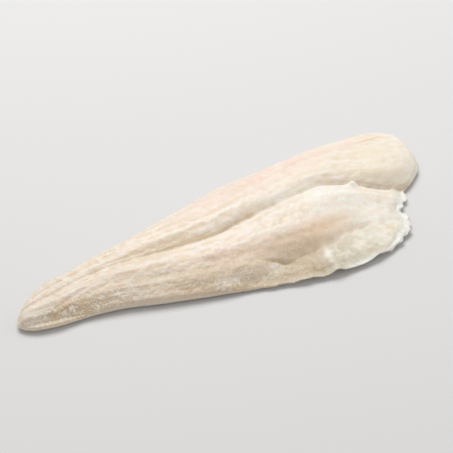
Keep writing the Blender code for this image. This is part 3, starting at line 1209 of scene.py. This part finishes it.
    def frost(self, distance: Array, y: Array, across: Array) -> Array:
        """Says how frosty the upper side is: most at the tail and along the near band's lower slope."""
        tail = 1 - ease(distance, 20 * MM, 90 * MM)
        low = ease(-across, 0.4, 0.85) * (1 - ease(distance, 120 * MM, 170 * MM))
        clumps = sum(spot.over(distance, y) for spot in self.frost_spots)
        return np.clip(0.16 + 0.45 * tail + 0.45 * low + clumps, 0.0, 1.0)


@dataclass
class Ground:
    """The flesh's finished surface, on which small things are set."""

    flesh: bpy.types.Object
    tree: BVHTree = field(init=False)
    above: float = 0.1

    def __post_init__(self) -> None:
        """Makes the surface ready to be asked."""
        self.tree = BVHTree.FromObject(self.flesh, bpy.context.evaluated_depsgraph_get())

    def at(self, x: float, y: float) -> tuple[Vector, Vector] | None:
        """Finds the surface below a place.

        Args:
            x: X of the place.
            y: Y of the place.

        Returns:
            The point on the surface and its normal, or nothing past the edge.
        """
        place, normal, _, _ = self.tree.ray_cast(Vector((x, y, self.above)), Vector((0, 0, -1)))
        return None if place is None else (place, normal)

    def heights(self, x: Array, y: Array, missing: float) -> Array:
        """Gives the surface's height at places, and a set height past the edge."""
        found = [self.at(a, b) for a, b in zip(x.ravel().tolist(), y.ravel().tolist())]
        return np.array([hit[0].z if hit else missing for hit in found]).reshape(x.shape)


@dataclass
class TornFrill:
    """A ragged frill of thin membrane that lies on the flap's torn edge and hangs a little over it."""

    sheet: Sheet
    ground: Ground
    finish: MembraneFinish = MembraneFinish()

    # Its line along the flap's edge.
    step: float = 0.55 * MM
    rows: int = 9
    starts: float = 168 * MM
    widens: Span = (172 * MM, 196 * MM)
    smoothing: int = 7
    thickness: float = 0.55 * MM
    smooth_levels: int = 1

    # How far it reaches over the flap and out from it.
    inner_width: float = 5.0 * MM
    inner_wobble: Wobble = Wobble(0.7, 0.5, 5 * MM, 6.6)
    least_inside: float = 0.4 * MM
    side_width: float = 0.3 * MM
    end_width: float = 2.4 * MM
    rags: Wobble = Wobble(0.55, 0.9, 5.2 * MM, 4.2, 0.0, 1.2)
    swells: Wobble = Wobble(0.75, 0.7, 8 * MM, 9.1, 0.15, 1.2)
    lobe: float = 7 * MM
    lobe_width: float = 0.8

    # How it lies on the flap.
    ruffle: float = 0.8 * MM
    ruffle_length: float = 4.6 * MM
    ruffle_rate: float = 1.2
    sunk: float = 0.45 * MM
    side_sunk: float = 0.45 * MM
    rise: float = 0.5 * MM
    droop: float = 0.45 * MM
    lowest: float = 0.35 * MM
    flap_height: float = 2.5 * MM  # where the flap isn't found below

    # Its holes.
    hole_length: float = 1.5 * MM
    hole_rate: float = 1.6
    hole_level: float = 0.68

    def path(self) -> tuple[Array, Array, Array, Array]:
        """Follows the torn edge from the seam's notch round the flap towards the tail.

        Returns:
            X, Y and the outward direction's X and Y at even steps along the edge.
        """
        sheet = self.sheet
        seam_row = round(sheet.seam_row_share * sheet.rows)
        end_rows = [(sheet.columns, j) for j in range(seam_row - 2, 0, -1)]
        side = [(i, 0) for i in range(sheet.columns, 0, -1) if sheet.distance[i, 0] > self.starts]
        i, j = np.array(end_rows + side).T
        out_x, out_y = sheet.outward()
        columns = np.column_stack([sheet.x[i, j], sheet.y[i, j], out_x[i, j], out_y[i, j]])
        run = np.concatenate([[0.0], np.cumsum(np.hypot(*np.diff(columns[:, :2], axis=0).T))])
        even = np.arange(0.0, run[-1], self.step)
        window = np.ones(self.smoothing) / self.smoothing
        padded = [np.pad(np.interp(even, run, values), self.smoothing // 2, "edge") for values in columns.T]
        x, y, out_x, out_y = (np.convolve(values, window, "valid") for values in padded)
        length = np.hypot(out_x, out_y)
        return x, y, out_x / length, out_y / length

    def build(self) -> bpy.types.Object:
        """Builds and dresses the frill."""
        x, y, out_x, out_y = self.path()
        count = len(x)
        piece = grid("torn_frill", count - 1, self.rows)
        template = points_of(piece)
        k = np.rint((template[:, 0] + 1) / 2 * (count - 1)).astype(int)
        v = template[:, 1]
        run = k * self.step
        at_end = ease(x[k] + 0.5 * self.sheet.form.length, *self.widens)
        inner, outer = self.widths(run, at_end)
        off = v * np.where(v < 0, inner, outer)
        inside = np.minimum(off, -self.least_inside)
        flap = self.ground.heights(x[k] + out_x[k] * inside, y[k] + out_y[k] * inside, self.flap_height)
        z = np.maximum(flap + self.rise_over_flap(run, v, at_end), self.lowest)
        set_points(piece, np.column_stack([x[k] + out_x[k] * off, y[k] + out_y[k] * off, z]))
        self.tear_holes(piece, run, v)
        thicken(piece, self.thickness, self.smooth_levels)
        piece.data.materials.append(self.finish.material())
        return piece

    def widths(self, run: Array, at_end: Array) -> tuple[Array, Array]:
        """Works out how far the frill reaches from the torn edge.

        Args:
            run: Distance of each point along the edge.
            at_end: 1 at the head end and 0 along the side.

        Returns:
            Its reach inwards over the flap and its ragged reach outwards, at each point.
        """
        rag = self.rags.at(run) * self.swells.at(run)
        rag = self.lobe_width + (rag - self.lobe_width) * self.past_lobe(run)
        outer = (self.side_width + (self.end_width - self.side_width) * at_end) * rag
        outer = outer * np.sqrt(np.clip(run / (0.6 * self.lobe), 0.0, 1.0))
        inner = self.inner_width * (0.2 + 0.8 * at_end) * self.inner_wobble.at(run)
        inner = inner * (0.25 + 0.75 * ease(run, 0.0, self.lobe))
        return inner, outer

    def past_lobe(self, run: Array) -> Array:
        """Gives 0 on the smooth lobe beside the seam's notch, and 1 past it."""
        return ease(run, 0.6 * self.lobe, 1.3 * self.lobe)

    def rise_over_flap(self, run: Array, v: Array, at_end: Array) -> Array:
        """Works out how the frill lies on the flap.

        Args:
            run: Distance of each point along the edge.
            v: Place of each point, from -1 inside to 1 outside.
            at_end: 1 at the head end and 0 along the side.

        Returns:
            Its height over the flap, with its inner edge sunk in and its outer edge ruffled and drooping.
        """
        ruffles = noise_at(run / self.ruffle_length, v * self.ruffle_rate, 15.0) * ease(v, -0.8, 0.6)
        ruffles = self.ruffle * ruffles * (0.25 + 0.75 * self.past_lobe(run))
        lift = self.rise * ease(v, -1.0, 0.1) - self.sunk - self.side_sunk * (1 - at_end)
        return lift + ruffles - self.droop * np.clip(v, 0, 1) ** 2

    def tear_holes(self, piece: bpy.types.Object, run: Array, v: Array) -> None:
        """Takes out patches of the frill near its outer edge.

        Args:
            piece: The frill as a sheet.
            run: Distance of each point along the edge.
            v: Place of each point, from -1 inside to 1 outside.
        """
        weak = noise_at(run / self.hole_length, v * self.hole_rate, 2.8) * ease(v, -0.5, 0.3)
        holes = weak > self.hole_level
        bpy.context.tool_settings.mesh_select_mode = (False, False, True)
        piece.data.vertices.foreach_set("select", np.zeros(len(v), dtype=bool))
        torn = [all(holes[index] for index in face.vertices) for face in piece.data.polygons]
        piece.data.polygons.foreach_set("select", torn)
        only(piece)
        bpy.ops.object.mode_set(mode="EDIT")
        bpy.ops.mesh.delete(type="FACE")
        bpy.ops.object.mode_set(mode="OBJECT")


@dataclass
class FrostCrumbs:
    """Crumbs of frost in loose clumps on the upper side, most at the tail and on the lower slope."""

    flesh: FilletFlesh
    ground: Ground
    finish: FrostFinish = FrostFinish()
    clumps: int = 170
    loose: int = 300
    least_frost: float = 0.3
    crumbs_in_clump: tuple[int, int] = (6, 20)
    clump_spread: Span = (0.6 * MM, 2.2 * MM)
    loose_spread: float = 0.4 * MM
    radius: Span = (0.1 * MM, 0.26 * MM)
    loose_size: float = 0.75
    unevenness: float = 0.35
    proportions: tuple[float, float, float] = (1.3, 0.9, 0.55)
    proud_share: float = 0.15
    tilt: float = 0.35
    seed: int = 11

    def crumb(self) -> tuple[Array, Array]:
        """Models one crumb about 2 across.

        Returns:
            Its points, and the three points of each face.
        """
        deselect_all()
        bpy.ops.mesh.primitive_ico_sphere_add(subdivisions=1, radius=1.0, location=(0, 0, 0))
        model = bpy.context.object
        bpy.ops.object.mode_set(mode="EDIT")
        bpy.ops.transform.vertex_random(offset=self.unevenness, seed=self.seed)
        bpy.ops.transform.resize(value=self.proportions)
        bpy.ops.object.mode_set(mode="OBJECT")
        points = points_of(model)
        faces = np.array([tuple(face.vertices) for face in model.data.polygons])
        bpy.data.objects.remove(model, do_unlink=True)
        return points, faces

    def places(self) -> list[tuple[Vector, Vector, float]]:
        """Draws where the crumbs lie.

        Returns:
            The middle of each crumb, the direction that its flat side faces and its radius.
        """
        draw = random.Random(self.seed)
        sheet = self.flesh.sheet
        frosty = self.flesh.frost(sheet.distance, sheet.y, sheet.across).ravel()
        cell = np.hypot(*np.gradient(sheet.x)) * np.hypot(*np.gradient(sheet.y))
        weights = (np.clip(frosty - self.least_frost, 0.0, None) ** 2 * cell.ravel()).tolist()
        picks = draw.choices(range(len(weights)), weights, k=self.clumps + self.loose)
        found = []
        for number, pick in enumerate(picks):
            x, y = float(sheet.x.flat[pick]), float(sheet.y.flat[pick])
            clump = number < self.clumps
            spread = draw.uniform(*self.clump_spread) if clump else self.loose_spread
            for _ in range(draw.randint(*self.crumbs_in_clump) if clump else 1):
                hit = self.ground.at(draw.gauss(x, spread), draw.gauss(y, spread))
                if hit:
                    radius = draw.uniform(*self.radius) * (1.0 if clump else self.loose_size)
                    found.append((hit[0] + hit[1] * radius * self.proud_share, hit[1], radius))
        return found

    def build(self) -> bpy.types.Object:
        """Builds and dresses the crumbs as one joined piece."""
        draw = random.Random(self.seed + 1)
        points, faces = self.crumb()
        all_points, all_faces = [], []
        for number, (middle, facing, radius) in enumerate(self.places()):
            leaning = Euler((draw.gauss(0, self.tilt), draw.gauss(0, self.tilt), draw.uniform(0, math.tau)))
            turned = facing.to_track_quat("Z", "Y").to_matrix() @ leaning.to_matrix()
            all_points.append(points @ np.array(turned).T * radius + np.array(middle))
            all_faces.append(faces + number * len(points))
        mesh = bpy.data.meshes.new("frost_crumbs")
        mesh.from_pydata(np.vstack(all_points).tolist(), [], np.vstack(all_faces).tolist())
        piece = bpy.data.objects.new("frost_crumbs", mesh)
        bpy.context.scene.collection.objects.link(piece)
        mesh.materials.append(self.finish.material())
        only(piece)
        bpy.ops.object.shade_smooth()
        return piece


@dataclass(frozen=True)
class Lamp:
    """A square soft light that points at the fillet, with its power in watts."""

    name: str
    place: tuple[float, float, float]
    power: float
    colour: Colour
    size: float = 0.8

    def hang(self) -> None:
        """Adds the light to the scene."""
        data = bpy.data.lights.new(self.name, "AREA")
        data.size, data.energy, data.color = self.size, self.power, self.colour
        lamp = bpy.data.objects.new(self.name, data)
        bpy.context.scene.collection.objects.link(lamp)
        lamp.location = self.place
        lamp.rotation_euler = (-lamp.location).to_track_quat("-Z", "Y").to_euler()


@dataclass
class Studio:
    """A plain white floor, soft light from above and behind, and a camera at the photo's angle."""

    azimuth: float = math.radians(-27.4)
    elevation: float = math.radians(38)
    camera_distance: float = 1.09
    frame_share: float = 0.88
    floor_half: float = 2.0
    floor_gap: float = 0.3 * MM
    floor_finish: FloorFinish = FloorFinish()
    lamps: tuple[Lamp, ...] = (
        Lamp("window", (0.12, 0.6, 1.05), 10.6, (1.0, 0.99, 0.975)),
        Lamp("bounce", (-0.7, -0.7, 0.6), 0.9, (1.0, 0.93, 0.85)),
        Lamp("fill", (0.95, -0.2, 0.5), 1.3, (1.0, 0.98, 0.95)),
    )
    room_colour: Colour = (1.0, 0.99, 0.98)
    room_strength: float = 0.41

    def floor(self) -> None:
        """Makes the floor, a little under the fillet."""
        plane = grid("floor", 1, 1)
        set_points(plane, points_of(plane) * self.floor_half - np.array([0, 0, self.floor_gap]))
        plane.data.materials.append(self.floor_finish.material())

    def lights(self) -> None:
        """Adds the lights and the room's even light."""
        for lamp in self.lamps:
            lamp.hang()
        world = bpy.data.worlds.new("room")
        world.use_nodes = True
        background = world.node_tree.nodes["Background"]
        background.inputs["Color"].default_value = (*self.room_colour, 1.0)
        background.inputs["Strength"].default_value = self.room_strength
        bpy.context.scene.world = world
        bpy.context.scene.view_settings.view_transform = "Standard"

    def camera(self, piece: bpy.types.Object) -> None:
        """Adds the camera at its distance, with a lens that fills its share of the picture with a piece."""
        level = math.cos(self.elevation)
        right = Vector((math.cos(self.azimuth), math.sin(self.azimuth), 0))
        back = Vector((right.y * level, -right.x * level, math.sin(self.elevation)))
        up = back.cross(right)
        points = points_of(piece)
        spans = [points @ np.array(side) for side in (right, up)]
        middle = [(values.min() + values.max()) / 2 for values in spans]
        data = bpy.data.cameras.new("camera")
        eye = bpy.data.objects.new("camera", data)
        bpy.context.scene.collection.objects.link(eye)
        eye.location = right * middle[0] + up * middle[1] + back * self.camera_distance
        eye.rotation_euler = back.to_track_quat("Z", "Y").to_euler()
        data.lens = data.sensor_width * self.camera_distance / (np.ptp(spans[0]) / self.frame_share)
        bpy.context.scene.camera = eye


def place(piece: bpy.types.Object) -> None:
    """Makes a piece ride on the fillet's body, and reports it."""
    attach(piece, "root")
    log.info("%s: %d points, %d faces", piece.name, len(piece.data.vertices), len(piece.data.polygons))


def main() -> None:
    """Builds every piece in order."""
    logging.basicConfig(level=logging.INFO, format="%(name)s: %(message)s")
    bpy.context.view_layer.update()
    low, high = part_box("fillet")
    sheet = Sheet(FilletForm(length=high.x - low.x - 2 * FilletForm.rim_bulge))
    flesh = FilletFlesh(sheet)
    flesh_piece = flesh.build()
    place(flesh_piece)
    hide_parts("fillet")

    ground = Ground(flesh_piece)
    place(TornFrill(sheet, ground).build())
    place(FrostCrumbs(flesh, ground).build())

    studio = Studio()
    studio.floor()
    studio.lights()
    studio.camera(flesh_piece)


if __name__ == "__main__":
    main()
